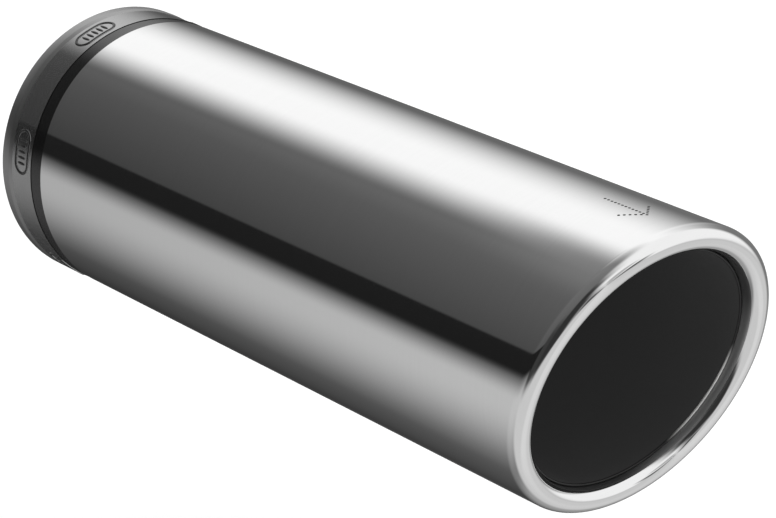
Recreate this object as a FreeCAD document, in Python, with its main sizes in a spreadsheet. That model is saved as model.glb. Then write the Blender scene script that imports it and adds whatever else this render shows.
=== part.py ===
"""Slash-cut round exhaust tip: a polished outer shell with a rolled lip, a dark
flush joint band, an end collar with raised panels, a pressed end cap, a short
inlet pipe welded into it, and a dark inner tube.

Frame, in millimetres: the axis lies along Y and the mouth faces -Y; the origin
is the centre of the open end of the inlet pipe, where the car's own tail pipe
leaves along +Y; +Z is up, on the side where the slash leaves the shell longest.
Distances "forward" are measured from the origin towards the mouth.
"""
import FreeCAD
import Part
import math
import os

import Sketcher

V = FreeCAD.Vector
doc = FreeCAD.newDocument("exhaust_tip")

# Driving dimensions
DIMENSIONS = [
    # outer shell and its lip
    ("outer_radius", 50.0, "outside of the shell and the collar"),
    ("shell_wall", 1.2, "sheet of the shell and the collar"),
    ("body_length", 256.0, "shell on the axis, rear edge to the plane of the lip"),
    ("slash_angle", 16.0, "lean of the lip plane from square, degrees"),
    ("lip_width", 8.2, "rolled lip, from the shell's outside to the mouth"),
    ("lip_outer_share", 0.51, "roll from the shell into the lip, of the lip's width"),
    ("lip_inner_share", 0.465, "roll from the lip into the mouth, of the lip's width"),
    ("return_depth", 12.0, "sheet turned back inside the lip"),
    # joint band, collar and hem behind the shell
    ("joint_width", 6.5, "dark band between the shell and the collar"),
    ("joint_recess", 0.2, "band below the shell's surface"),
    ("collar_width", 12.0, "collar between the band and the hem"),
    ("hem_width", 6.0, "folded hem at the rear edge"),
    ("hem_rise", 0.35, "hem above the collar"),
    ("fold_width", 6.0, "hem's fold over the cap, from the shell's outside"),
    ("hem_corner", 0.4, "rear edge of the hem, broken"),
    # raised panels on the collar
    ("panel_count", 6, "panels round the collar"),
    ("panel_turn", 26.0, "first panel from the top, degrees"),
    ("panel_length", 16.8, "panel along the collar"),
    ("panel_width", 8.5, "panel across the collar"),
    ("panel_border", 1.1, "raised border of a panel"),
    ("panel_rise", 0.35, "panel above the collar"),
    # end cap
    ("cap_wall", 1.5, "sheet of the end cap"),
    ("cap_reach", 10.0, "flange of the cap inside the shell"),
    ("cap_corner", 1.0, "bend at the rim of the cap"),
    ("dish_outer_share", 0.65, "top of the dish's step, of the room from weld to tube"),
    ("dish_inner_share", 0.2, "foot of the dish's step, of the same room"),
    ("dish_depth", 3.0, "dish below the rim of the cap"),
    ("neck_length", 6.0, "neck turned forward round the inlet pipe"),
    # inlet pipe and its weld
    ("inlet_bore", 30.25, "bore for a 60 mm tail pipe"),
    ("inlet_wall", 1.5, "sheet of the inlet pipe"),
    ("inlet_length", 55.0, "inlet pipe"),
    ("inlet_reach", 18.0, "inlet pipe behind the hem"),
    ("weld_leg", 3.0, "leg of the weld round the inlet pipe"),
    # inner tube
    ("liner_wall", 1.0, "sheet of the inner tube"),
    ("liner_setback", 5.0, "front edge of the inner tube behind the lip plane"),
    # named clearances
    ("sheet_fit", 0.1, "a round sheet part inside another"),
    ("pipe_fit", 0.05, "the inlet pipe in the neck of the cap"),
]

sheet = doc.addObject("Spreadsheet::Sheet", "Sizes")
for row, (alias, value, meaning) in enumerate(DIMENSIONS, start=1):
    sheet.set("A%d" % row, alias)
    sheet.set("B%d" % row, str(value))
    sheet.set("C%d" % row, meaning)
    sheet.setAlias("B%d" % row, alias)
doc.recompute()

# Places along the axis, forward of the origin, as expressions of the sheet
SHELL_INSIDE = "(Sizes.outer_radius - Sizes.shell_wall)"
HEM_REAR = "Sizes.inlet_reach"
COLLAR_REAR = "(%s + Sizes.hem_width)" % HEM_REAR
JOINT_REAR = "(%s + Sizes.collar_width)" % COLLAR_REAR
SHELL_REAR = "(%s + Sizes.joint_width)" % JOINT_REAR
LIP_PLANE = "(%s + Sizes.body_length)" % SHELL_REAR
CAP_REAR = "(%s + Sizes.shell_wall)" % HEM_REAR
CAP_FRONT = "(%s + Sizes.cap_wall)" % CAP_REAR
DISH_REAR = "(%s + Sizes.dish_depth)" % CAP_REAR
DISH_FRONT = "(%s + Sizes.cap_wall)" % DISH_REAR
PIPE_OUTSIDE = "(Sizes.inlet_bore + Sizes.inlet_wall)"
MOUTH_RADIUS = "(Sizes.outer_radius - Sizes.lip_width)"
LIP_OUTER_ROUND = "(Sizes.lip_width * Sizes.lip_outer_share)"
LIP_INNER_ROUND = "(Sizes.lip_width * Sizes.lip_inner_share)"
FOLD_RADIUS = "(Sizes.outer_radius - Sizes.fold_width)"
LINER_OUTSIDE = "(%s - Sizes.sheet_fit)" % MOUTH_RADIUS
LINER_INSIDE = "(%s - Sizes.liner_wall)" % LINER_OUTSIDE
WELD_OUTSIDE = "(%s + Sizes.weld_leg)" % PIPE_OUTSIDE
WELD_TO_TUBE = "(%s - %s)" % (LINER_INSIDE, WELD_OUTSIDE)
DISH_OUTER = "(%s + %s * Sizes.dish_outer_share)" % (WELD_OUTSIDE, WELD_TO_TUBE)
DISH_INNER = "(%s + %s * Sizes.dish_inner_share)" % (WELD_OUTSIDE, WELD_TO_TUBE)
LEAN = "tan(Sizes.slash_angle * 1deg)"
SQUARE = "cos(Sizes.slash_angle * 1deg)"


def value_of(expression):
    """The present value of an expression of the sheet."""
    result = sheet.evalExpression(expression)
    return float(getattr(result, "Value", result))


def new_body(label):
    """A body with its own label, which names its file."""
    body = doc.addObject("PartDesign::Body", label)
    body.Label = label
    return body


def origin_item(body, role):
    """A plane or an axis of the body's own origin."""
    return next(item for item in body.Origin.OriginFeatures if item.Role == role)


def square_sketch(body, name, forward):
    """A sketch square to the axis, drawn in X and Z, a given distance forward."""
    sketch = body.newObject("Sketcher::SketchObject", name)
    sketch.AttachmentSupport = [(origin_item(body, "XZ_Plane"), "")]
    sketch.MapMode = "FlatFace"
    sketch.setExpression("AttachmentOffset.Base.z", forward)
    return sketch


def leaning_sketch(body, name, forward):
    """A sketch in a plane that leans with the slash."""
    sketch = square_sketch(body, name, forward)
    turn = FreeCAD.Rotation(V(1, 0, 0), value_of("Sizes.slash_angle"))
    sketch.AttachmentOffset = FreeCAD.Placement(V(0, 0, 0), turn)
    sketch.setExpression("AttachmentOffset.Rotation.Angle", "Sizes.slash_angle")
    return sketch


def side_sketch(body, name):
    """A sketch in the upright plane of the axis: forward across, radius up."""
    sketch = body.newObject("Sketcher::SketchObject", name)
    sketch.AttachmentSupport = [(origin_item(body, "YZ_Plane"), "")]
    sketch.MapMode = "FlatFace"
    sketch.AttachmentOffset = FreeCAD.Placement(V(0, 0, 0), FreeCAD.Rotation(V(0, 1, 0), 180))
    return sketch


def add_circle(sketch, name, radius):
    """A circle about the axis with its radius bound to the sheet."""
    size = value_of(radius)
    item = sketch.addGeometry(Part.Circle(V(0, 0, 0), V(0, 0, 1), size))
    sketch.addConstraint(Sketcher.Constraint("Coincident", item, 3, -1, 1))
    index = sketch.addConstraint(Sketcher.Constraint("Radius", item, size))
    sketch.renameConstraint(index, name)
    sketch.setExpression("Constraints." + name, radius)


def add_loop(sketch, name, corners):
    """A closed run of straight lines through corners given as expressions."""
    points = [V(value_of(across), value_of(up), 0) for across, up in corners]
    first = None
    for number, point in enumerate(points):
        after = points[(number + 1) % len(points)]
        line = sketch.addGeometry(Part.LineSegment(point, after))
        first = line if first is None else first
    last = first + len(points) - 1
    for number in range(len(points)):
        line = first + number
        after = first if line == last else line + 1
        sketch.addConstraint(Sketcher.Constraint("Coincident", line, 2, after, 1))
    for number, (across, up) in enumerate(corners):
        for kind, side, expression, value in (
            ("DistanceX", "across", across, points[number].x),
            ("DistanceY", "up", up, points[number].y),
        ):
            constraint = Sketcher.Constraint(kind, -1, 1, first + number, 1, value)
            index = sketch.addConstraint(constraint)
            label = "%s_%s_%d" % (name, side, number)
            sketch.renameConstraint(index, label)
            sketch.setExpression("Constraints." + label, expression)


def pad(body, name, sketch, length):
    """A pad along the sketch's normal."""
    feature = body.newObject("PartDesign::Pad", name)
    feature.Profile = sketch
    feature.setExpression("Length", length)
    return feature


def cut_away(body, name, sketch, forward):
    """A pocket through everything, forward of its sketch or behind it."""
    feature = body.newObject("PartDesign::Pocket", name)
    feature.Profile = sketch
    feature.Type = "ThroughAll"
    feature.Reversed = forward
    doc.recompute()
    if not 0.0 < feature.Shape.Volume < feature.BaseFeature.Shape.Volume:
        raise RuntimeError("%s cuts nothing or everything" % name)
    return feature


def revolve(body, name, sketch):
    """A full turn of a side sketch about the axis."""
    feature = body.newObject("PartDesign::Revolution", name)
    feature.Profile = sketch
    feature.ReferenceAxis = (sketch, ["H_Axis"])
    feature.Angle = 360.0
    return feature


def break_edges(body, name, amount, chosen):
    """A chamfer on the edges of the last feature that a test picks out."""
    doc.recompute()
    base = body.Tip
    names = [
        "Edge%d" % number
        for number, edge in enumerate(base.Shape.Edges, start=1)
        if chosen(edge)
    ]
    if not names:
        raise RuntimeError("%s finds no edge" % name)
    feature = body.newObject("PartDesign::Chamfer", name)
    feature.Base = (base, names)
    feature.setExpression("Size", amount)
    return feature


def at_lip(edge, radius):
    """Whether an edge runs round the lip, this far from the axis at the two sides."""
    box = edge.optimalBoundingBox()
    return (
        edge.isClosed()
        and abs(box.XLength - 2.0 * radius) < 0.05
        and abs(box.Center.y + value_of(LIP_PLANE)) < value_of("Sizes.lip_width / 2")
    )


def on_square_plane(edge, radius, forward):
    """Whether an edge is the square section of a cylinder at this place."""
    box = edge.BoundBox
    return (
        edge.isClosed()
        and abs(box.XLength - 2.0 * radius) < 0.05
        and box.YLength < 0.01
        and abs(box.YMin + forward) < 0.05
    )


# Outer shell: a tube cut on the slant, its lip rolled in and turned back
def slanted_core(body, radius, rear, front):
    """A cylinder about the axis, cut on the slant at the front."""
    outline = square_sketch(body, body.Label + "_round", rear)
    add_circle(outline, "radius", radius)
    pad(body, body.Label + "_pad", outline, "%s - %s + 2 * %s * %s + 5" % (front, rear, radius, LEAN))
    doc.recompute()
    field = leaning_sketch(body, body.Label + "_slash", front)
    add_circle(field, "radius", "3 * Sizes.outer_radius")
    cut_away(body, body.Label + "_slash_cut", field, True)


# A round of radius 1 in three equal flats: the middle one, then one at each side of it
MIDDLE_FLAT = 2.0 - 2.0 ** 0.5
SIDE_FLAT = math.tan(math.pi / 8) - math.tan(math.pi / 16)


def roll_over(body, name, size, rim, from_rim_to_plane):
    """Roll one rim of the lip over a round of this size, in three flats."""
    middle = "%s * %.4f" % (size, MIDDLE_FLAT)
    side = "%s * %.4f" % (size, SIDE_FLAT)
    on_wall = value_of(rim)
    on_plane = on_wall + from_rim_to_plane * value_of(middle)
    break_edges(body, name, middle, lambda edge: at_lip(edge, on_wall))
    break_edges(
        body,
        name + "_sides",
        side,
        lambda edge: at_lip(edge, on_wall) or at_lip(edge, on_plane),
    )


LIP_INSIDE = "(%s - Sizes.shell_wall / %s)" % (LIP_PLANE, SQUARE)
RETURN_END = "(%s - Sizes.return_depth / %s)" % (LIP_PLANE, SQUARE)

returned = new_body("returned_sheet")
slanted_core(returned, "(%s + Sizes.shell_wall)" % MOUTH_RADIUS, SHELL_REAR, LIP_PLANE)
behind = leaning_sketch(returned, "returned_end", RETURN_END)
add_circle(behind, "radius", "3 * Sizes.outer_radius")
cut_away(returned, "returned_end_cut", behind, False)

space = new_body("shell_space")
slanted_core(space, SHELL_INSIDE, "(%s - 2)" % SHELL_REAR, LIP_INSIDE)
left_in = space.newObject("PartDesign::Boolean", "space_round_return")
left_in.Type = "Cut"
left_in.setObjects([returned])
inner_corner = value_of("%s + Sizes.shell_wall" % MOUTH_RADIUS)
# each hidden corner is cut off by the middle flat alone, so the sheet keeps its wall
break_edges(
    space,
    "space_shoulder",
    "(%s - Sizes.shell_wall) * %.4f" % (LIP_OUTER_ROUND, MIDDLE_FLAT),
    lambda edge: at_lip(edge, value_of(SHELL_INSIDE)),
)
break_edges(
    space,
    "space_nose",
    "(%s - Sizes.shell_wall) * %.4f" % (LIP_INNER_ROUND, MIDDLE_FLAT),
    lambda edge: at_lip(edge, inner_corner),
)

shell = new_body("outer_shell")
slanted_core(shell, "Sizes.outer_radius", SHELL_REAR, LIP_PLANE)
roll_over(shell, "lip_shoulder", LIP_OUTER_ROUND, "Sizes.outer_radius", -1)
hollow = shell.newObject("PartDesign::Boolean", "shell_hollow")
hollow.Type = "Cut"
hollow.setObjects([space])
doc.recompute()
mouth = square_sketch(shell, "mouth", "%s + 2 * Sizes.outer_radius * %s" % (LIP_PLANE, LEAN))
add_circle(mouth, "radius", MOUTH_RADIUS)
cut_away(shell, "mouth_cut", mouth, False)
roll_over(shell, "lip_nose", LIP_INNER_ROUND, MOUTH_RADIUS, 1)

# Dark band, flush between the shell and the collar
band = new_body("joint_band")
band_ring = square_sketch(band, "band_ring", JOINT_REAR)
add_circle(band_ring, "outside", "Sizes.outer_radius - Sizes.joint_recess")
add_circle(band_ring, "inside", SHELL_INSIDE)
pad(band, "band_pad", band_ring, "Sizes.joint_width")

# End collar: a sheet ring, hemmed and folded over the cap, with raised panels
collar = new_body("end_collar")
collar_side = side_sketch(collar, "collar_side")
add_loop(
    collar_side,
    "corner",
    [
        (JOINT_REAR, SHELL_INSIDE),
        (JOINT_REAR, "Sizes.outer_radius"),
        (COLLAR_REAR, "Sizes.outer_radius"),
        (COLLAR_REAR, "Sizes.outer_radius + Sizes.hem_rise"),
        (HEM_REAR, "Sizes.outer_radius + Sizes.hem_rise"),
        (HEM_REAR, FOLD_RADIUS),
        (CAP_REAR, FOLD_RADIUS),
        (CAP_REAR, SHELL_INSIDE),
    ],
)
revolve(collar, "collar_turn", collar_side)
break_edges(
    collar,
    "hem_edge",
    "Sizes.hem_corner",
    lambda edge: on_square_plane(
        edge,
        value_of("Sizes.outer_radius + Sizes.hem_rise"),
        value_of(HEM_REAR),
    ),
)

PANEL_SEAT = "(%s + Sizes.shell_wall / 8)" % SHELL_INSIDE
panel = collar.newObject("Sketcher::SketchObject", "panel")
panel.AttachmentSupport = [(origin_item(collar, "XY_Plane"), "")]
panel.MapMode = "FlatFace"
first_turn = FreeCAD.Rotation(V(0, -1, 0), value_of("Sizes.panel_turn"))
panel.AttachmentOffset = FreeCAD.Placement(V(0, 0, 0), first_turn)
panel.setExpression("AttachmentOffset.Rotation.Angle", "Sizes.panel_turn")
panel.setExpression(
    "AttachmentOffset.Base.x", "-%s * sin(Sizes.panel_turn * 1deg)" % PANEL_SEAT
)
panel.setExpression(
    "AttachmentOffset.Base.y", "-(%s + Sizes.collar_width / 2)" % COLLAR_REAR
)
panel.setExpression(
    "AttachmentOffset.Base.z", "%s * cos(Sizes.panel_turn * 1deg)" % PANEL_SEAT
)


def add_stadium(sketch, name, length, width):
    """An oblong with round ends about the sketch's centre."""
    run = 0.5 * (value_of(length) - value_of(width))
    half = 0.5 * value_of(width)
    top = sketch.addGeometry(Part.LineSegment(V(-run, half, 0), V(run, half, 0)))
    right = sketch.addGeometry(
        Part.ArcOfCircle(Part.Circle(V(run, 0, 0), V(0, 0, 1), half), -1.5707963, 1.5707963)
    )
    foot = sketch.addGeometry(Part.LineSegment(V(run, -half, 0), V(-run, -half, 0)))
    left = sketch.addGeometry(
        Part.ArcOfCircle(Part.Circle(V(-run, 0, 0), V(0, 0, 1), half), 1.5707963, 4.7123890)
    )
    sketch.addConstraint(Sketcher.Constraint("Tangent", top, 2, right, 2))
    sketch.addConstraint(Sketcher.Constraint("Tangent", right, 1, foot, 1))
    sketch.addConstraint(Sketcher.Constraint("Tangent", foot, 2, left, 2))
    sketch.addConstraint(Sketcher.Constraint("Tangent", left, 1, top, 1))
    sketch.addConstraint(Sketcher.Constraint("Horizontal", top))
    sketch.addConstraint(Sketcher.Constraint("PointOnObject", right, 3, -1))
    sketch.addConstraint(Sketcher.Constraint("Symmetric", left, 3, right, 3, -1, 1))
    for label, constraint, expression in (
        ("run", Sketcher.Constraint("DistanceX", left, 3, right, 3, 2 * run), "%s - %s" % (length, width)),
        ("end", Sketcher.Constraint("Radius", right, half), "%s / 2" % width),
    ):
        index = sketch.addConstraint(constraint)
        sketch.renameConstraint(index, name + "_" + label)
        sketch.setExpression("Constraints." + name + "_" + label, expression)


add_stadium(panel, "rim", "Sizes.panel_length", "Sizes.panel_width")
add_stadium(
    panel,
    "field",
    "(Sizes.panel_length - 2 * Sizes.panel_border)",
    "(Sizes.panel_width - 2 * Sizes.panel_border)",
)
panel_pad = pad(collar, "panel_pad", panel, "Sizes.shell_wall + 2 * Sizes.panel_rise")
doc.recompute()
panels = collar.newObject("PartDesign::PolarPattern", "panels")
panels.Originals = [panel_pad]
panels.Axis = (origin_item(collar, "Y_Axis"), [""])
panels.Angle = 360.0
panels.setExpression("Occurrences", "Sizes.panel_count")
collar.Tip = panels
doc.recompute()

crown = side_sketch(collar, "panel_crown")
add_loop(
    crown,
    "crown",
    [
        (JOINT_REAR, "Sizes.outer_radius + Sizes.panel_rise"),
        (JOINT_REAR, "Sizes.outer_radius + 4"),
        (COLLAR_REAR, "Sizes.outer_radius + 4"),
        (COLLAR_REAR, "Sizes.outer_radius + Sizes.panel_rise"),
    ],
)
before_crown = collar.Tip.Shape.Volume
crown_cut = collar.newObject("PartDesign::Groove", "panel_crown_cut")
crown_cut.Profile = crown
crown_cut.ReferenceAxis = (crown, ["H_Axis"])
crown_cut.Angle = 360.0
doc.recompute()
if not crown_cut.Shape.Volume < before_crown:
    raise RuntimeError("the crown of the panels isn't cut")

# End cap: a pressed cup inside the shell and the collar, dished round the inlet
cap = new_body("end_cap")
CAP_OUTSIDE = "(%s - Sizes.sheet_fit)" % SHELL_INSIDE
CAP_INSIDE = "(%s - Sizes.cap_wall)" % CAP_OUTSIDE
CAP_END = "(%s + Sizes.cap_reach)" % SHELL_REAR
NECK_INSIDE = "(%s + Sizes.pipe_fit)" % PIPE_OUTSIDE
NECK_OUTSIDE = "(%s + Sizes.cap_wall)" % NECK_INSIDE
NECK_END = "(%s + Sizes.neck_length)" % DISH_FRONT
cap_side = side_sketch(cap, "cap_side")
add_loop(
    cap_side,
    "corner",
    [
        (CAP_END, CAP_OUTSIDE),
        (CAP_REAR, CAP_OUTSIDE),
        (CAP_REAR, DISH_OUTER),
        (DISH_REAR, DISH_INNER),
        (DISH_REAR, NECK_INSIDE),
        (NECK_END, NECK_INSIDE),
        (NECK_END, NECK_OUTSIDE),
        (DISH_FRONT, NECK_OUTSIDE),
        (DISH_FRONT, "%s + Sizes.cap_wall / 3" % DISH_INNER),
        (CAP_FRONT, "%s + Sizes.cap_wall / 3" % DISH_OUTER),
        (CAP_FRONT, CAP_INSIDE),
        (CAP_END, CAP_INSIDE),
    ],
)
revolve(cap, "cap_turn", cap_side)
break_edges(
    cap,
    "cap_rim",
    "Sizes.cap_corner",
    lambda edge: on_square_plane(edge, value_of(CAP_OUTSIDE), value_of(CAP_REAR)),
)

# Inlet pipe: a plain sleeve that the tail pipe slides into
inlet = new_body("inlet_pipe")
inlet_ring = square_sketch(inlet, "inlet_ring", "0")
add_circle(inlet_ring, "outside", PIPE_OUTSIDE)
add_circle(inlet_ring, "inside", "Sizes.inlet_bore")
pad(inlet, "inlet_pad", inlet_ring, "Sizes.inlet_length")

# Weld run between the inlet pipe and the dish of the cap
weld = new_body("inlet_weld")
weld_side = side_sketch(weld, "weld_side")
add_loop(
    weld_side,
    "corner",
    [
        (DISH_REAR, PIPE_OUTSIDE),
        (DISH_REAR, WELD_OUTSIDE),
        (
            "%s - Sizes.weld_leg * 0.62" % DISH_REAR,
            "%s + Sizes.weld_leg * 0.62" % PIPE_OUTSIDE,
        ),
        ("%s - Sizes.weld_leg" % DISH_REAR, PIPE_OUTSIDE),
    ],
)
revolve(weld, "weld_turn", weld_side)

# Inner tube: stands on the cap and ends just inside the returned lip
liner = new_body("inner_tube")
liner_ring = square_sketch(liner, "liner_ring", CAP_FRONT)
add_circle(liner_ring, "outside", LINER_OUTSIDE)
add_circle(liner_ring, "inside", LINER_INSIDE)
pad(liner, "liner_pad", liner_ring, "%s + 2 * Sizes.outer_radius * %s" % (LIP_PLANE, LEAN))
doc.recompute()
liner_field = leaning_sketch(
    liner, "liner_slash", "%s - Sizes.liner_setback / %s" % (LIP_PLANE, SQUARE)
)
add_circle(liner_field, "radius", "3 * Sizes.outer_radius")
cut_away(liner, "liner_slash_cut", liner_field, True)

# Checks, then one file for each piece
doc.recompute()
for item in doc.Objects:
    if "Invalid" in item.State or "Error" in item.State:
        raise RuntimeError("%s failed: %s" % (item.Name, item.State))

pieces = [shell, band, collar, cap, inlet, weld, liner]
for piece in pieces:
    if piece.Shape.isNull() or not piece.Shape.isValid() or len(piece.Shape.Solids) != 1:
        raise RuntimeError("%s isn't one valid solid" % piece.Label)

os.makedirs("parts", exist_ok=True)
for piece in pieces:
    piece.Shape.exportStep("parts/%s.step" % piece.Label)
    box = piece.Shape.BoundBox
    print(
        "%-12s volume %9.0f mm3  Y %8.2f .. %7.2f  radius to %.2f"
        % (piece.Label, piece.Shape.Volume, box.YMin, box.YMax, 0.5 * box.XLength)
    )
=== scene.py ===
"""Looks of a round slash-cut exhaust tip: mirror-polished stainless shell with a
rolled lip, black joint band, embossed end collar, pressed end cap, inlet pipe
with its weld, and a black inner tube, on a pale studio floor.

Frame: metres, axis along Y, mouth towards -Y, +Z up, origin at the centre of the
inlet pipe's open end. An angle round the axis is counted from +Z towards -X.
"""
import logging
import math
from collections.abc import Callable, Sequence
from dataclasses import dataclass, field
from enum import Enum
from typing import Any, ClassVar, NamedTuple

import bpy
from bpy.types import Camera, Material, Mesh, Node, NodeSocket, NodeTree, Object
from mathutils import Matrix, Vector


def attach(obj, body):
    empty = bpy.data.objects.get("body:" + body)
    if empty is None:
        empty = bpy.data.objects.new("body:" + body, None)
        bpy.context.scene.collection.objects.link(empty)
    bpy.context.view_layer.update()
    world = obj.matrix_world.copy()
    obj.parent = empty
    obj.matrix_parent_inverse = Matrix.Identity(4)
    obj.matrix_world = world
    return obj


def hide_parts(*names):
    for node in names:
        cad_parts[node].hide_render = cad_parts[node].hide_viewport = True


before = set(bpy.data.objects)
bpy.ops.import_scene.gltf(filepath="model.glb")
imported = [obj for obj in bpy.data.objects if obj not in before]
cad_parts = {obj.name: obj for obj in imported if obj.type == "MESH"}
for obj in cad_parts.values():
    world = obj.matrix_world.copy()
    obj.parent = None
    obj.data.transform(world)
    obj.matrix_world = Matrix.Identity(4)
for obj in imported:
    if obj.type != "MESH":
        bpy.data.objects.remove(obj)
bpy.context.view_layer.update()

LOG = logging.getLogger("exhaust_tip")
MM = 0.001
WHITE = (1.0, 1.0, 1.0, 1.0)
# most of a noise pattern lies between these
NOISE_LOW, NOISE_HIGH = 0.3, 0.7
# a Mix node's colour sockets, by number because others share their names
COLOUR_A, COLOUR_B, COLOUR_OUT = 6, 7, 2
# edges that turn by more than this, in degrees, stay sharp
SHARP_FROM = 32.0
# a node's sockets, by name or number, and what each is given
Inputs = dict[str | int, Any]


def linear(hex_colour: str) -> tuple[float, float, float, float]:
    """Turn an sRGB hex value into the linear colour that shaders take.

    Args:
        hex_colour: six hex digits, such as "c8c8c6".

    Returns:
        Red, green, blue and an alpha of one.
    """
    parts = [int(hex_colour[i:i + 2], 16) / 255.0 for i in (0, 2, 4)]
    red, green, blue = (
        part / 12.92 if part <= 0.04045 else ((part + 0.055) / 1.055) ** 2.4 for part in parts
    )
    return red, green, blue, 1.0


def feed(node: Node, inputs: Inputs) -> None:
    """Set or link the inputs of a node.

    Args:
        node: the node.
        inputs: a value for each socket, or what feeds it: an output, a node for
            its first output, or a list of such.
    """
    for key, value in inputs.items():
        for given in value if isinstance(value, list) else [value]:
            source = given.outputs[0] if isinstance(given, Node) else given
            if isinstance(source, NodeSocket):
                node.id_data.links.new(source, node.inputs[key])
            else:
                node.inputs[key].default_value = source


def add_node(tree: NodeTree, kind: str, inputs: Inputs | None = None, **settings: Any) -> Node:
    """Add one node with its settings and what goes into it.

    Args:
        tree: the node tree it goes into.
        kind: Blender's name for the node type.
        inputs: what goes into it, as feed takes it.
        **settings: properties of the node itself.

    Returns:
        The new node.
    """
    node = tree.nodes.new(kind)
    for name, value in settings.items():
        setattr(node, name, value)
    feed(node, inputs or {})
    return node


def set_out(name: str, data: Mesh | Camera) -> Object:
    """Make an object of a mesh or a camera, and link it to the scene.

    Args:
        name: name of the object.
        data: the mesh or the camera.

    Returns:
        The new object.
    """
    made = bpy.data.objects.new(name, data)
    bpy.context.scene.collection.objects.link(made)
    return made


# Finishes


@dataclass(frozen=True)
class Finish:
    """A surface finish; each kind adds its own nodes round one shader.

    Attributes:
        name: name of the material.
        colour: sRGB hex value of the base colour.
        roughness: the shader's roughness before any variation.
        metallic: one for bare metal, less where something lies on it, and
            nought for a coating.
    """

    name: str
    colour: str
    roughness: float
    metallic: float = 1.0

    def material(self) -> Material:
        """Build the material once, and give the same one back after that.

        Returns:
            The material.
        """
        made = bpy.data.materials.get(self.name)
        if made:
            return made
        made = bpy.data.materials.new(self.name)
        made.use_nodes = True
        tree = made.node_tree
        tree.nodes.clear()
        shader = add_node(tree, "ShaderNodeBsdfPrincipled", {
            "Base Color": linear(self.colour),
            "Roughness": self.roughness,
            "Metallic": self.metallic,
        })
        add_node(tree, "ShaderNodeOutputMaterial", {"Surface": shader})
        self.detail(shader)
        made.diffuse_color = linear(self.colour)
        return made

    def detail(self, shader: Node) -> None:
        """Add what this finish shows close up; a plain finish adds nothing."""


@dataclass(frozen=True)
class PolishedStainless(Finish):
    """Austenitic stainless sheet, mirror-polished on a turning wheel.

    It gives the eye sharp reflections with a faint haze, and hair-fine marks
    that run round the tube, with slow cloudiness where the wheel pressed more.
    Real marks are too fine for the render, so they are as coarse as they need to
    be to show.

    Attributes:
        mark_spacing: spacing of the wheel marks along the tube, in mm.
        mark_length: length of a mark round the tube, in mm.
        mark_depth: height of the marks, in mm.
        mark_tone: share by which the marks are lighter and darker.
        cloud: size of the cloudy patches, in mm.
        haze: share by which the roughness wanders.
    """

    mark_spacing: float = 0.9
    mark_length: float = 56.0
    mark_depth: float = 0.0006
    mark_tone: float = 0.03
    cloud: float = 36.0
    haze: float = 0.35

    def detail(self, shader: Node) -> None:
        """Add wheel marks round the axis and a cloudy roughness.

        Args:
            shader: the Principled shader.
        """
        tree = shader.id_data
        place = add_node(tree, "ShaderNodeTexCoord").outputs["Object"]
        # marks are long round the tube and short along it
        around, along = 1.0 / (self.mark_length * MM), 1.0 / (self.mark_spacing * MM)
        stretched = add_node(tree, "ShaderNodeMapping", {
            "Vector": place, "Scale": (around, along, around),
        })
        marks = add_node(tree, "ShaderNodeTexNoise", {
            "Vector": stretched, "Scale": 1.0, "Detail": 3.0, "Roughness": 0.6,
        })
        cloud = add_node(tree, "ShaderNodeTexNoise", {
            "Vector": place, "Scale": 1.0 / (self.cloud * MM), "Detail": 2.0,
        })
        both = add_node(tree, "ShaderNodeMath", {0: marks, 1: cloud}, operation="ADD")
        rough = add_node(tree, "ShaderNodeMapRange", {
            "Value": both, "From Min": 2.0 * NOISE_LOW, "From Max": 2.0 * NOISE_HIGH,
            "To Min": self.roughness * (1.0 - self.haze),
            "To Max": self.roughness * (1.0 + self.haze),
        })
        bump = add_node(tree, "ShaderNodeBump", {
            "Height": marks, "Distance": self.mark_depth * MM,
        })
        lines = add_node(tree, "ShaderNodeMapRange", {
            "Value": marks, "From Min": NOISE_LOW, "From Max": NOISE_HIGH,
        })
        red, green, blue, alpha = linear(self.colour)
        darker, lighter = (
            (red * tone, green * tone, blue * tone, alpha)
            for tone in (1.0 - self.mark_tone, 1.0 + self.mark_tone)
        )
        lined = add_node(tree, "ShaderNodeMix", {
            "Factor": lines, COLOUR_A: darker, COLOUR_B: lighter,
        }, data_type="RGBA")
        feed(shader, {
            "Base Color": lined.outputs[COLOUR_OUT], "Roughness": rough, "Normal": bump,
        })


@dataclass(frozen=True)
class BrushedStainless(PolishedStainless):
    """Stainless sheet or tube as it leaves the mill, or satin-ground.

    It gives the eye a soft grey sheen, drawn out across the grain, with grain
    lines that show when close. The real grain is under a tenth of a millimetre,
    and is as coarse here as it needs to be to show.
    """

    mark_spacing: float = 0.35
    mark_depth: float = 0.006
    mark_tone: float = 0.05
    haze: float = 0.25


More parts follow.
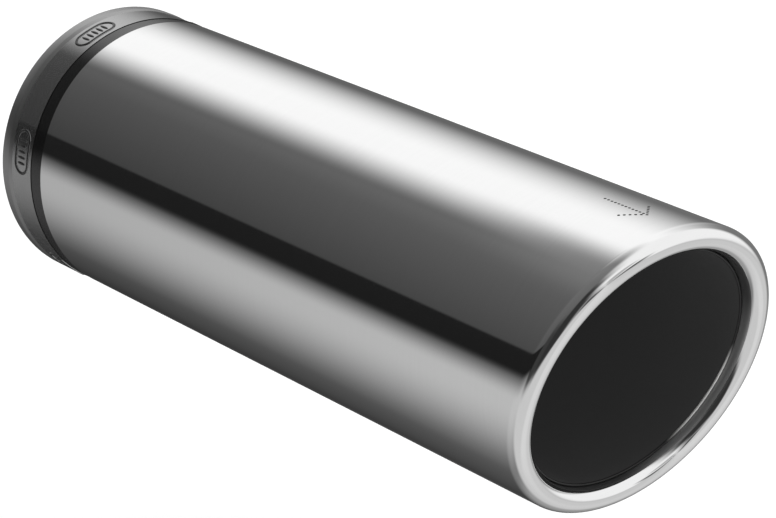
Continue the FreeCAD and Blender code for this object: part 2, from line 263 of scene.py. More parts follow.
@dataclass(frozen=True)
class DulledStainlessPaintedShade(BrushedStainless):
    """Stainless that the wheel doesn't reach, left dull.

    It gives the eye a flat dark grey as painted shade, and a lighter grey along one
    side as a painted reflection.

    Attributes:
        painted_lit_side_angle: middle of the side with the painted reflection, in
            degrees round the axis.
        painted_lit_side_reach: cosines of the angles from that middle at which the
            painted reflection starts and is full.
        dull: sRGB hex value of the painted shade away from that side.
    """

    metallic: float = 0.6
    painted_lit_side_angle: float = -113.0
    painted_lit_side_reach: tuple[float, float] = (0.57, 0.89)
    dull: str = "585858"

    def detail(self, shader: Node) -> None:
        """Add painted shade away from one side, and a painted reflection on it, to the grain of
        the metal.

        Args:
            shader: the Principled shader.
        """
        super().detail(shader)
        tree = shader.id_data
        level = add_node(tree, "ShaderNodeVectorMath", {
            0: add_node(tree, "ShaderNodeTexCoord").outputs["Object"], 1: (1.0, 0.0, 1.0),
        }, operation="MULTIPLY")
        around = add_node(tree, "ShaderNodeVectorMath", {0: level}, operation="NORMALIZE")
        near = add_node(tree, "ShaderNodeVectorMath", {
            0: around, 1: outward(math.radians(self.painted_lit_side_angle)),
        }, operation="DOT_PRODUCT")
        start, full = self.painted_lit_side_reach
        # a painted reflection on one side, fading into painted shade of the dull colour elsewhere
        painted_lit_side_share = add_node(tree, "ShaderNodeMapRange", {
            "Value": near.outputs["Value"], "From Min": start, "From Max": full,
        }, interpolation_type="SMOOTHSTEP")
        blend = add_node(tree, "ShaderNodeMix", {
            "Factor": painted_lit_side_share, COLOUR_A: linear(self.dull), COLOUR_B: linear(self.colour),
        }, data_type="RGBA")
        feed(shader, {"Base Color": blend.outputs[COLOUR_OUT]})


@dataclass(frozen=True)
class EdgePaintedHighlight(DulledStainlessPaintedShade):
    """Stainless edge, dark, with a painted highlight along one side.

    It gives the eye a thin bright line where the highlight is painted, and a dark
    line of painted shade elsewhere.
    """

    metallic: float = 0.8
    painted_lit_side_reach: tuple[float, float] = (0.89, 1.0)
    dull: str = "303030"


@dataclass(frozen=True)
class BlackEnamel(Finish):
    """Heat-proof black enamel, sprayed and baked on.

    It gives the eye a near-black that still mirrors the lights weakly, with the
    slight orange peel of a sprayed film.

    Attributes:
        film_index: refractive index of the film.
        peel: spacing of the orange peel, in mm.
        peel_height: height of the orange peel, in mm.
        patch: size of the patches where the gloss wanders, in mm.
        wander: share by which the gloss wanders.
    """

    metallic: float = 0.0
    film_index: float = 1.5
    peel: float = 1.6
    peel_height: float = 0.004
    patch: float = 17.0
    wander: float = 0.15

    def detail(self, shader: Node) -> None:
        """Add the orange peel and a little unevenness in the gloss.

        Args:
            shader: the Principled shader.
        """
        tree = shader.id_data
        place = add_node(tree, "ShaderNodeTexCoord").outputs["Object"]
        peel, patches = (
            add_node(tree, "ShaderNodeTexNoise", {
                "Vector": place, "Scale": 1.0 / (size * MM), "Detail": detail,
            })
            for size, detail in ((self.peel, 1.0), (self.patch, 2.0))
        )
        rough = add_node(tree, "ShaderNodeMapRange", {
            "Value": patches, "From Min": NOISE_LOW, "From Max": NOISE_HIGH,
            "To Min": self.roughness * (1.0 - self.wander),
            "To Max": self.roughness * (1.0 + self.wander),
        })
        bump = add_node(tree, "ShaderNodeBump", {
            "Height": peel, "Distance": self.peel_height * MM,
        })
        feed(shader, {"IOR": self.film_index, "Roughness": rough, "Normal": bump})


@dataclass(frozen=True)
class HeatPaintAndGlow(BlackEnamel):
    """Matt black heat-proof silicone paint, brushed on.

    It gives the eye a dead dark grey with the grain of its pigment, and a painted
    glow that stands in for the studio's soft light, which keeps the inside of the tube
    nearly as light deep down as at the mouth. The real grain is finer, and is as
    coarse here as it needs to be to show.

    Attributes:
        painted_fill_glow: painted glow of the paint, which stands in for the
        studio's soft light that the rough pigment would throw back.
    """

    peel: float = 0.5
    peel_height: float = 0.02
    painted_fill_glow: float = 0.0

    def detail(self, shader: Node) -> None:
        """Add a painted glow, which stands in for the studio's soft light, to the grain of the
        paint.

        Args:
            shader: the Principled shader.
        """
        super().detail(shader)
        # the emission is a painted glow that stands in for the studio's soft light; the paint is
        # no lamp
        feed(shader, {"Emission Color": WHITE, "Emission Strength": self.painted_fill_glow})


@dataclass(frozen=True)
class WeldMetal(Finish):
    """Fusion-welded stainless, left as welded.

    It gives the eye a dull straw and blue-grey heat tint over fine ripples.

    Attributes:
        patch: size of a patch of tint, in mm.
        tints: where in the patches each tint is full, and its sRGB hex value.
    """

    patch: float = 11.0
    tints: tuple[tuple[float, str], ...] = ((0.35, "8d8578"), (0.68, "6f737c"))

    def detail(self, shader: Node) -> None:
        """Add the heat tint in slow patches round the bead.

        Args:
            shader: the Principled shader.
        """
        tree = shader.id_data
        patch = add_node(tree, "ShaderNodeTexNoise", {
            "Vector": add_node(tree, "ShaderNodeTexCoord").outputs["Object"],
            "Scale": 1.0 / (self.patch * MM), "Detail": 2.0,
        })
        tint = add_node(tree, "ShaderNodeValToRGB", {"Fac": patch})
        for element, (position, colour) in zip(tint.color_ramp.elements, self.tints):
            element.position, element.color = position, linear(colour)
        feed(shader, {"Base Color": tint})


@dataclass(frozen=True)
class StudioPaper(Finish):
    """Matt white paper of the studio floor, lit so evenly that it glows a little.

    It gives the eye an even pale ground with soft shadows. Its real tooth is
    finer, and is as coarse here as it needs to be to show.

    Attributes:
        glow: light that the paper seems to give off of itself.
        shine: specular level of the paper.
        tooth: grain of the paper, in mm.
        tooth_height: height of the grain, in mm.
        tooth_strength: share of the grain that shows.
    """

    metallic: float = 0.0
    glow: float = 0.22
    shine: float = 0.1
    tooth: float = 1.1
    tooth_height: float = 0.02
    tooth_strength: float = 0.3

    def detail(self, shader: Node) -> None:
        """Add the glow and the paper's faint tooth.

        Args:
            shader: the Principled shader.
        """
        tree = shader.id_data
        tooth = add_node(tree, "ShaderNodeTexNoise", {
            "Vector": add_node(tree, "ShaderNodeTexCoord").outputs["Object"],
            "Scale": 1.0 / (self.tooth * MM),
        })
        bump = add_node(tree, "ShaderNodeBump", {
            "Height": tooth, "Distance": self.tooth_height * MM, "Strength": self.tooth_strength,
        })
        feed(shader, {
            "Emission Color": WHITE, "Emission Strength": self.glow,
            "Specular IOR Level": self.shine, "Normal": bump,
        })


MIRROR = PolishedStainless("mirror_polished_stainless", "e2e2e2", 0.045, mark_tone=0.008)
# the returned sheet is painted shade all round, with a painted reflection on one side
UNPOLISHED_RETURN_PAINTED_SHADE = DulledStainlessPaintedShade("unpolished_return_painted_shade", "8f8f8f", 0.36)
COLLAR_POLISH = PolishedStainless(
    "polished_collar_stainless", "9c9c9c", 0.09, metallic=0.95, mark_tone=0.01
)
SATIN_HEM = BrushedStainless("satin_ground_hem", "9a9a9a", 0.40)
MILL_SHEET = BrushedStainless("mill_finish_sheet", "a9a8a6", 0.36)
MILL_TUBE = BrushedStainless("mill_finish_tube", "b2b1af", 0.30)
SHEARED_EDGE = BrushedStainless("sheared_bare_edge", "c9c8c6", 0.25)
BAND_ENAMEL = BlackEnamel("black_baked_enamel", "0f0f0f", 0.14, film_index=1.46)
# the relief's near-black top is a painted dark reflection
PANEL_PAINTED_DARK_REFLECTION = BlackEnamel("relief_painted_dark_reflection", "161616", 0.32)
# the inside paint glows a little: painted light that keeps the deep inside of the tube as light as
# the mouth
INNER_PAINT_AND_GLOW = HeatPaintAndGlow("matt_black_heat_paint_and_glow", "202020", 0.8, painted_fill_glow=0.0135)
# the rim's thin bright line is a painted highlight on one side, the rest painted shade
RIM_PAINTED_HIGHLIGHT = EdgePaintedHighlight("rim_painted_highlight", "f2f2f0", 0.42)
BEAD = WeldMetal("as_welded_stainless", "7f7b74", 0.38)
# struck dots use the inside's paint finish, near-black: painted shade that makes them look like
# small dark pits
PIT_PAINTED_SHADE = HeatPaintAndGlow("peened_pit_shadow", "1a1a1a", 0.7)
PAPER = StudioPaper("matt_white_studio_paper", "f6f6f6", 0.9)


# Shape helpers


@dataclass(frozen=True)
class TipSizes:
    """Sizes shared by the sub-assemblies, in metres; all as in the solids.

    Attributes:
        radius: outside of the shell and the collar.
        wall: sheet of the shell and the collar.
        hem_rear: rear edge of the hem, forward of the origin.
        collar_rear: step from the hem to the collar.
        joint_rear: step from the collar to the joint band.
        shell_rear: rear edge of the shell.
        lip_plane: lip plane on the axis, forward of the origin.
        slash: lean of the lip plane, in degrees.
        lip_width: rolled lip, from the outside of the shell to the mouth.
    """

    radius: float = 50.0 * MM
    wall: float = 1.2 * MM
    hem_rear: float = 18.0 * MM
    collar_rear: float = 24.0 * MM
    joint_rear: float = 36.0 * MM
    shell_rear: float = 42.5 * MM
    lip_plane: float = 298.5 * MM
    slash: float = 16.0
    lip_width: float = 8.2 * MM

    @property
    def mouth(self) -> float:
        """Radius of the open mouth inside the lip."""
        return self.radius - self.lip_width

    @property
    def facing(self) -> Vector:
        """The way the lip plane faces."""
        lean = math.radians(self.slash)
        return Vector((0.0, -math.cos(lean), -math.sin(lean)))

    def on_slant(self, around: Vector, radius: float, behind: float) -> Vector:
        """Find the point of a round surface that lies a given depth behind the lip plane.

        Args:
            around: unit vector from the axis towards the point.
            radius: distance from the axis.
            behind: depth behind the lip plane, square to it.

        Returns:
            The point.
        """
        point = around * radius
        facing = self.facing
        point.y = -self.lip_plane + (-behind - facing.z * point.z) / facing.y
        return point


TIP = TipSizes()
# a point at this share of a straight keeps it straight in smooth shading
NEAR = 0.02
# the points of a section, and the finish of the span that leaves each point
Section = tuple[list[Vector], list[Finish]]


def outward(angle: float) -> Vector:
    """Unit vector away from the axis, at an angle in radians from +Z towards -X."""
    return Vector((-math.sin(angle), 0.0, math.cos(angle)))


def along_tube(
    around: Vector, radius: float, start: float, end: float, shares: Sequence[float]
) -> list[Vector]:
    """Take points along a line that runs with the axis.

    Args:
        around: unit vector from the axis towards the line.
        radius: distance of the line from the axis.
        start: Y of the line's first end.
        end: Y of its other end.
        shares: how far along the line each point is, from nought to one.

    Returns:
        The points.
    """
    line = around * radius
    return [line + Vector((0.0, start + (end - start) * share, 0.0)) for share in shares]


def rolled(middle: Vector, radius: float, first: Vector, last: Vector, steps: int) -> list[Vector]:
    """Take points on a round bend.

    Args:
        middle: centre of the bend.
        radius: radius of the bend.
        first: unit vector from the centre to the first point.
        last: unit vector from the centre to the last point.
        steps: spans along the bend.

    Returns:
        The points.
    """
    return [middle + first.slerp(last, step / steps) * radius for step in range(steps + 1)]


def closed_tube(name: str, draw: Callable[[float], Section], steps: int) -> Object:
    """Draw a section at each step round the axis, and join them into a closed piece.

    Args:
        name: name of the piece.
        draw: gives the section at an angle in radians.
        steps: steps round the axis.

    Returns:
        The new object, linked to the scene, with its finishes.
    """
    sections = [draw(math.tau * step / steps)[0] for step in range(steps)]
    outline, parts = draw(0.0)
    spans = len(outline)
    faces = [
        (
            step * spans + span,
            step * spans + (span + 1) % spans,
            (step + 1) % steps * spans + (span + 1) % spans,
            (step + 1) % steps * spans + span,
        )
        for step in range(steps)
        for span in range(spans)
    ]
    mesh = bpy.data.meshes.new(name)
    mesh.from_pydata([tuple(point) for section in sections for point in section], [], faces)
    finishes = list(dict.fromkeys(parts))
    for finish in finishes:
        mesh.materials.append(finish.material())
    numbers = [finishes.index(part) for part in parts]
    mesh.polygons.foreach_set("material_index", numbers * steps)
    mesh.polygons.foreach_set("use_smooth", [True] * len(faces))
    # an outline that runs forwards on the outside would turn the faces inwards
    if sum(a.cross(b).x for a, b in zip(outline, outline[1:] + outline[:1])) > 0.0:
        mesh.flip_normals()
    mesh.set_sharp_from_angle(angle=math.radians(SHARP_FROM))
    mesh.update()
    return set_out(name, mesh)


class Corner(NamedTuple):
    """A corner of a profile, in metres.

    Attributes:
        along: distance forward of the origin.
        across: distance from the axis.
        bend: radius that it is rounded to.
        finish: finish of the span that leaves it, where it isn't the profile's.
    """

    along: float
    across: float
    bend: float = 0.0
    finish: Finish | None = None


@dataclass
class Profile:
    """An outline with rounded corners, turned round the axis into a piece.

    Attributes:
        finish: finish of the piece.
        corners: corners of the outline.
        bend_steps: spans that each rounded corner gets.
        margin: distance from a bend at which a flat gets a further point, so
            that smooth shading keeps the flat flat; none if nought.
        long: how many times that distance a flat is long, at least, to get it.
        room: largest share of a side that a bend takes up.
    """

    finish: Finish
    corners: list[Corner]
    bend_steps: int = 5
    margin: float = 0.3 * MM
    long: float = 3.0
    room: float = 0.45

    def outline(self) -> list[tuple[Vector, Finish]]:
        """Round the corners.

        Returns:
            The points, forward and across, and the finish of each point's span.
        """
        points: list[tuple[Vector, Finish]] = []
        for index, corner in enumerate(self.corners):
            last = self.corners[index - 1]
            following = self.corners[(index + 1) % len(self.corners)]
            here, finish = Vector(corner[:2]), corner.finish or self.finish
            if corner.bend <= 0.0:
                points.append((here, finish))
                continue
            before, after = Vector(last[:2]) - here, Vector(following[:2]) - here
            back, on = before.normalized(), after.normalized()
            half = 0.5 * before.angle(after)
            side = min(before.length, after.length)
            reach = min(corner.bend / math.tan(half), self.room * side)
            middle = here + (back + on).normalized() * (reach * math.tan(half) / math.sin(half))
            start, end = here + back * reach - middle, here + on * reach - middle
            turn = -start.angle_signed(end) / self.bend_steps
            clear = reach + self.margin
            if self.margin and before.length > self.long * clear:
                points.append((here + back * clear, last.finish or self.finish))
            for step in range(self.bend_steps + 1):
                points.append((middle + Matrix.Rotation(turn * step, 2) @ start, finish))
            if self.margin and after.length > self.long * clear:
                points.append((here + on * clear, finish))
        return points

    def turned(self, name: str, steps: int = 256) -> Object:
        """Turn the outline round the axis into a closed piece.

        Args:
            name: name of the piece.
            steps: steps round the axis.

        Returns:
            The new object.
        """
        outline = self.outline()
        finishes = [finish for _, finish in outline]

        def draw(angle: float) -> Section:
            """Stand the outline up at an angle."""
            around = outward(angle)
            return [Vector((0.0, -spot.x, 0.0)) + around * spot.y for spot, _ in outline], finishes

        return closed_tube(name, draw, steps)


@dataclass
class ShapeTree:
    """A Geometry Nodes tree with named inputs, which ends as a plain mesh.

    Attributes:
        name: name of the tree and of the piece made by it.
        sizes: input name to its value; a whole number makes an integer input
            and three numbers make a vector input.
        tree: the node tree.
        keys: input name to the identifier that the modifier knows it by.
        given: outputs of the node that gives the inputs.
    """

    name: str
    sizes: dict[str, float | int | tuple[float, float, float]]
    tree: NodeTree = field(init=False)
    keys: dict[str, str] = field(init=False)
    given: Any = field(init=False)

    def __post_init__(self) -> None:
        """Make the tree with its inputs."""
        self.tree = bpy.data.node_groups.new(self.name, "GeometryNodeTree")
        face = self.tree.interface
        face.new_socket("Geometry", in_out="OUTPUT", socket_type="NodeSocketGeometry")
        kinds = {int: "NodeSocketInt", float: "NodeSocketFloat", tuple: "NodeSocketVector"}
        self.keys = {
            name: face.new_socket(name, in_out="INPUT", socket_type=kinds[type(size)]).identifier
            for name, size in self.sizes.items()
        }
        self.given = add_node(self.tree, "NodeGroupInput").outputs

    def add(self, kind: str, inputs: Inputs | None = None, **settings: Any) -> Node:
        """Add one node to the tree, as add_node does.

        Args:
            kind: Blender's name for the node type.
            inputs: as for add_node; a text stands for the tree's input of that name.
            **settings: properties of the node itself.

        Returns:
            The new node.
        """
        fed = {
            key: self.given[value] if isinstance(value, str) else value
            for key, value in (inputs or {}).items()
        }
        return add_node(self.tree, kind, fed, **settings)

    def wrap(self, flat: Any) -> Node:
        """Wrap a flat drawing round the Y axis, at the inputs Radius, Turn and Along.

        Args:
            flat: geometry; its X goes round towards -X, its Y along the axis and
                its Z outwards.

        Returns:
            The node that gives the wrapped geometry.
        """
        position = self.add("GeometryNodeInputPosition")
        spot = self.add("ShaderNodeSeparateXYZ", {0: position}).outputs
        around = self.add("ShaderNodeMath", {0: spot["X"], 1: "Radius"}, operation="DIVIDE")
        angle, along, out = (
            self.add("ShaderNodeMath", {0: part, 1: size}, operation="ADD")
            for part, size in ((around, "Turn"), (spot["Y"], "Along"), (spot["Z"], "Radius"))
        )
        at_top = self.add("ShaderNodeCombineXYZ", {"Y": along, "Z": out})
        place = self.add("ShaderNodeVectorRotate", {
            "Vector": at_top, "Angle": angle,
        }, rotation_type="Y_AXIS", invert=True)
        return self.add("GeometryNodeSetPosition", {"Geometry": flat, "Position": place})

    def dress(self, geometry: Any, finish: Finish) -> Node:
        """Make instances real, shade them smooth and give them a finish.

        Args:
            geometry: the finished geometry.
            finish: its finish.

        Returns:
            The last node.
        """
        real = self.add("GeometryNodeRealizeInstances", {0: geometry})
        smooth = self.add("GeometryNodeSetShadeSmooth", {"Geometry": real})
        return self.add("GeometryNodeSetMaterial", {
            "Geometry": smooth, "Material": finish.material(),
        })

    def plain(self, geometry: Any) -> Object:
        """Evaluate the tree once and keep its result as a plain mesh.

        Args:
            geometry: the dressed geometry.

        Returns:
            The new object.
        """
        self.add("NodeGroupOutput", {0: geometry})
        piece = set_out(self.name, bpy.data.meshes.new(self.name))
        modifier = piece.modifiers.new(self.name, "NODES")
        modifier.node_group = self.tree
        for name, value in self.sizes.items():
            modifier[self.keys[name]] = value
        evaluated = piece.evaluated_get(bpy.context.evaluated_depsgraph_get())
        mesh = bpy.data.meshes.new_from_object(evaluated)
        piece.modifiers.clear()
        piece.data = mesh
        return piece


# Sub-assemblies


class Assembly:
    """A sub-assembly, which builds its pieces and then dresses the part with them.

    Attributes:
        places: a slot name for each piece, which is not used, followed by the solids that it
            replaces.
    """

    places: ClassVar[tuple[tuple[str, ...], ...]] = ()

    def build(self) -> list[Object]:
        """Build the pieces, each with its finishes."""
        raise NotImplementedError

    def dress(self, pieces: list[Object]) -> None:
        """Let each piece ride on the body, in place of its solids, if it has any.

        Args:
            pieces: the pieces, in the order of their places.
        """
        for piece, (slot, *nodes) in zip(pieces, self.places, strict=True):
            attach(piece, "root")
            if nodes:
                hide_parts(*nodes)
            LOG.info("%s: %d faces", piece.name, len(piece.data.polygons))


@dataclass
class OuterShell(Assembly):
    """The polished shell, rolled in at the slash-cut mouth and turned back inside.

    Attributes:
        outer_roll: share of the lip's width rolled from the shell.
        inner_roll: share of the lip's width rolled into the mouth.
        return_depth: depth of the returned sheet behind the lip plane.
        polished_nose: share of the inner roll that the polishing wheel reaches.
        steps: steps round the axis.
        wall_steps: even spans along the wall.
        wall_ends: shares of the wall's length at which further points keep it
            straight in smooth shading.
        roll_steps: spans across each roll.
    """

    places: ClassVar = (("polished_shell", "outer_shell"),)
    outer_roll: float = 0.51
    inner_roll: float = 0.465
    return_depth: float = 12.0 * MM
    polished_nose: float = 0.72
    steps: int = 400
    wall_steps: int = 32
    wall_ends: tuple[float, ...] = (0.0008, 0.994, 0.9985)
    roll_steps: int = 14

    def section(self, angle: float) -> Section:
        """Draw the section of the sheet at one angle.

        Args:
            angle: angle round the axis, in radians.

        Returns:
            The section, from the rear edge over the lip and back inside.
        """
        tip = TIP
        around, facing = outward(angle), tip.facing
        outer, inner = tip.lip_width * self.outer_roll, tip.lip_width * self.inner_roll
        outer_middle = tip.on_slant(around, tip.radius - outer, outer)
        inner_middle = tip.on_slant(around, tip.mouth + inner, inner)
        rear, steps = -tip.shell_rear, self.roll_steps
        returned, inside = tip.mouth + tip.wall, tip.radius - tip.wall
        end = tip.on_slant(around, tip.mouth, self.return_depth).y
        end_outside = tip.on_slant(around, returned, self.return_depth).y
        even = [step / self.wall_steps for step in range(self.wall_steps)]
        polished = (
            along_tube(around, tip.radius, rear, outer_middle.y, sorted([*even, *self.wall_ends]))
            + rolled(outer_middle, outer, around, facing, steps)
            + rolled(inner_middle, inner, facing, -around, steps)
        )
        rough = (
            along_tube(around, tip.mouth, inner_middle.y, end, [NEAR, 0.35, 0.7, 1.0])
            + along_tube(around, returned, end_outside, inner_middle.y, [0.0, 0.5])
            + rolled(inner_middle, inner - tip.wall, -around, facing, steps)
            + rolled(outer_middle, outer - tip.wall, facing, around, steps)
            + along_tube(around, inside, outer_middle.y, rear, [NEAR, 0.5, 1.0])
        )
        # the wheel reaches only part of the way round the nose
        bright = len(polished) - 1 - round(steps * (1.0 - self.polished_nose))
        points = polished + rough
        return points, [MIRROR] * bright + [UNPOLISHED_RETURN_PAINTED_SHADE] * (len(points) - bright)

    def build(self) -> list[Object]:
        """Join the sections of the shell all round."""
        return [closed_tube("outer_shell_polished", self.section, self.steps)]


@dataclass
class JointBand(Assembly):
    """The black band, a hair below the shell's surface.

    Attributes:
        recess: depth below the shell.
        edge: radius of the soft edges of a sprayed film.
    """

    places: ClassVar = (("joint_black", "joint_band"),)
    recess: float = 0.2 * MM
    edge: float = 0.12 * MM

    def build(self) -> list[Object]:
        """Turn the band.

        Returns:
            The band.
        """
        tip = TIP
        outside, inside = tip.radius - self.recess, tip.radius - tip.wall
        profile = Profile(BAND_ENAMEL, [
            Corner(tip.joint_rear, inside),
            Corner(tip.joint_rear, outside, self.edge),
            Corner(tip.shell_rear, outside, self.edge),
            Corner(tip.shell_rear, inside),
        ], bend_steps=3)
        return [profile.turned("joint_band_enamelled", steps=360)]


@dataclass
class EndCollar(Assembly):
    """The collar, with its embossed panels, folded hem and fold over the cap.

    Attributes:
        panels: number of panels round the collar.
        first: angle of the first panel, in degrees.
        length: panel along the collar.
        width: panel across the collar.
        border: width of the raised border.
        border_step: length of one span of it.
        rise: height of the border above the collar.
        ribs: plain ribs inside each panel.
        rib_pitch: spacing of the ribs.
        rib_length: length of a rib.
        rib_width: width of a rib.
        hem_rise: hem above the collar.
        hem_slope: length of the soft slope from the hem to the collar.
        fold_width: fold over the cap, from the shell's outside.
        blacked: share of the rise above which the relief is painted near-black, as a painted dark
            reflection.
    """

    places: ClassVar = (("polished_collar", "end_collar"), ("polished_collar",))
    panels: int = 6
    first: float = 26.0
    length: float = 16.8 * MM
    width: float = 8.5 * MM
    border: float = 1.1 * MM
    border_step: float = 0.45 * MM
    rise: float = 0.35 * MM
    ribs: int = 5
    rib_pitch: float = 2.1 * MM
    rib_length: float = 4.9 * MM
    rib_width: float = 1.1 * MM
    hem_rise: float = 0.35 * MM
    hem_slope: float = 1.8 * MM
    fold_width: float = 6.0 * MM
    blacked: float = 0.40

    def build(self) -> list[Object]:
        """Build the collar and its panels."""
        return [self.build_collar(), self.build_panels()]

    def build_collar(self) -> Object:
        """Turn the collar; black runs up its front edge from the joint.

        Returns:
            The collar.
        """
        tip = TIP
        inside, hem = tip.radius - tip.wall, tip.radius + self.hem_rise
        fold, folded = tip.radius - self.fold_width, tip.hem_rear + tip.wall
        profile = Profile(SATIN_HEM, [
            Corner(tip.joint_rear, tip.radius, finish=COLLAR_POLISH),
            Corner(tip.collar_rear, tip.radius, 1.2 * MM),
            Corner(tip.collar_rear - self.hem_slope, hem, 1.2 * MM),
            Corner(tip.hem_rear, hem, 0.45 * MM),
            Corner(tip.hem_rear, fold, 0.3 * MM, SHEARED_EDGE),
            Corner(folded, fold),
            Corner(folded, inside),
            Corner(tip.joint_rear, inside, finish=BAND_ENAMEL),
        ], margin=0.0)
        return profile.turned("end_collar_rolled", steps=384)

    def build_panels(self) -> Object:
        """Emboss the panels: a stadium border and plain ribs, painted near-black on top as a
        painted dark reflection.

        Returns:
            The panels.
        """
        across = self.width - self.border
        shape = ShapeTree("collar_panels", {
            "Panels": self.panels,
            "Panel step": math.tau / self.panels,
            "Radius": TIP.radius,
            "Turn": math.radians(self.first),
            "Along": -0.5 * (TIP.joint_rear + TIP.collar_rear),
            "Border length": self.length - self.border,
            "Border width": across,
            "Border bend": 0.499 * across,  # a hair under half, so that the ends stay apart
            "Border step": self.border_step,
            "Border section": (0.5 * self.border, self.rise, 1.0),
            "Ribs": self.ribs,
            "First rib": (-0.5 * (self.ribs - 1) * self.rib_pitch, 0.0, 0.0),
            "Rib step": (self.rib_pitch, 0.0, 0.0),
            "Rib size": (0.5 * self.rib_width, 0.5 * self.rib_length, self.rise),
            "Blacked beyond": TIP.radius + self.blacked * self.rise,
        })
        oblong = shape.add("GeometryNodeCurvePrimitiveQuadrilateral", {
            "Width": "Border length", "Height": "Border width",
        })
        rounded = shape.add("GeometryNodeFilletCurve", {
            "Curve": oblong, "Count": 14, "Radius": "Border bend",
        }, mode="POLY")
        even = shape.add("GeometryNodeResampleCurve", {
            "Curve": rounded, "Length": "Border step",
        }, mode="LENGTH")
        level = shape.add("GeometryNodeSetCurveNormal", {0: even}, mode="Z_UP")
        circle = shape.add("GeometryNodeCurvePrimitiveCircle", {"Resolution": 16, "Radius": 1.0})
        section = shape.add("GeometryNodeTransform", {
            "Geometry": circle, "Scale": "Border section",
        })
        border = shape.add("GeometryNodeCurveToMesh", {"Curve": level, "Profile Curve": section})
        row = shape.add("GeometryNodeMeshLine", {
            "Count": "Ribs", "Start Location": "First rib", "Offset": "Rib step",
        })
        ball = shape.add("GeometryNodeMeshUVSphere", {"Segments": 12, "Rings": 8, "Radius": 1.0})
        ribs = shape.add("GeometryNodeInstanceOnPoints", {
            "Points": row, "Instance": ball, "Scale": "Rib size",
        })
        drawn = shape.add("GeometryNodeRealizeInstances", {
            0: shape.add("GeometryNodeJoinGeometry", {0: [border, ribs]}),
        })
        turn = shape.add("ShaderNodeMath", {
            0: shape.add("GeometryNodeInputIndex"), 1: "Panel step",
        }, operation="MULTIPLY")
        on_axis = shape.add("GeometryNodeMeshLine", {"Count": "Panels", "Offset": (0.0, 0.0, 0.0)})
        ring = shape.add("GeometryNodeInstanceOnPoints", {
            "Points": on_axis,
            "Instance": shape.wrap(drawn),
            "Rotation": shape.add("ShaderNodeCombineXYZ", {"Y": turn}),
        })
        polished_or_painted_highlight = shape.dress(ring, COLLAR_POLISH)
        square_on = shape.add("ShaderNodeVectorMath", {
            0: shape.add("GeometryNodeInputPosition"), 1: (1.0, 0.0, 1.0),
        }, operation="MULTIPLY")
        from_axis = shape.add("ShaderNodeVectorMath", {0: square_on}, operation="LENGTH")
        high = shape.add("ShaderNodeMath", {
            0: from_axis.outputs["Value"], 1: "Blacked beyond",
        }, operation="GREATER_THAN")
        # the top of the relief gets a painted dark reflection
        return shape.plain(shape.add("GeometryNodeSetMaterial", {
            "Geometry": polished_or_painted_highlight, "Selection": high, "Material": PANEL_PAINTED_DARK_REFLECTION.material(),
        }))


@dataclass
class EndCap(Assembly):
    """The pressed cup that closes the rear, dished round the inlet pipe.

    Attributes:
        sheet: thickness of the cap.
        outside: outside of its flange.
        reach: flange inside the shell.
        dish_outer: top of the dish's step.
        dish_inner: foot of the dish's step.
        dish_depth: depth of the dish.
        neck: inside of the neck round the pipe.
        neck_length: length of the neck.
    """

    places: ClassVar = (("pressed_cap", "end_cap"),)
    sheet: float = 1.5 * MM
    outside: float = 48.7 * MM
    reach: float = 10.0 * MM
    dish_outer: float = 38.6175 * MM
    dish_inner: float = 35.94 * MM
    dish_depth: float = 3.0 * MM
    neck: float = 31.8 * MM
    neck_length: float = 6.0 * MM

    def build(self) -> list[Object]:
        """Turn the cap, with the bends that pressing leaves.

        Returns:
            The cap.
        """
        rear = TIP.hem_rear + TIP.wall
        front = rear + self.sheet
        dish_rear, dish_front = rear + self.dish_depth, front + self.dish_depth
        end = TIP.shell_rear + self.reach
        neck_end, neck_out = dish_front + self.neck_length, self.neck + self.sheet
        # the sheet keeps its thickness on the slope of the dish
        shift = self.sheet / 3.0
        profile = Profile(MILL_SHEET, [
            Corner(end, self.outside),
            Corner(rear, self.outside, 0.9 * MM),
            Corner(rear, self.dish_outer, 1.4 * MM),
            Corner(dish_rear, self.dish_inner, 0.8 * MM),
            Corner(dish_rear, self.neck, 0.2 * MM),
            Corner(neck_end, self.neck),
            Corner(neck_end, neck_out),
            Corner(dish_front, neck_out, 0.5 * MM),
            Corner(dish_front, self.dish_inner + shift, 0.8 * MM),
            Corner(front, self.dish_outer + shift, 0.8 * MM),
            Corner(front, self.outside - self.sheet, 0.5 * MM),
            Corner(end, self.outside - self.sheet),
        ])
        return [profile.turned("end_cap_pressed")]


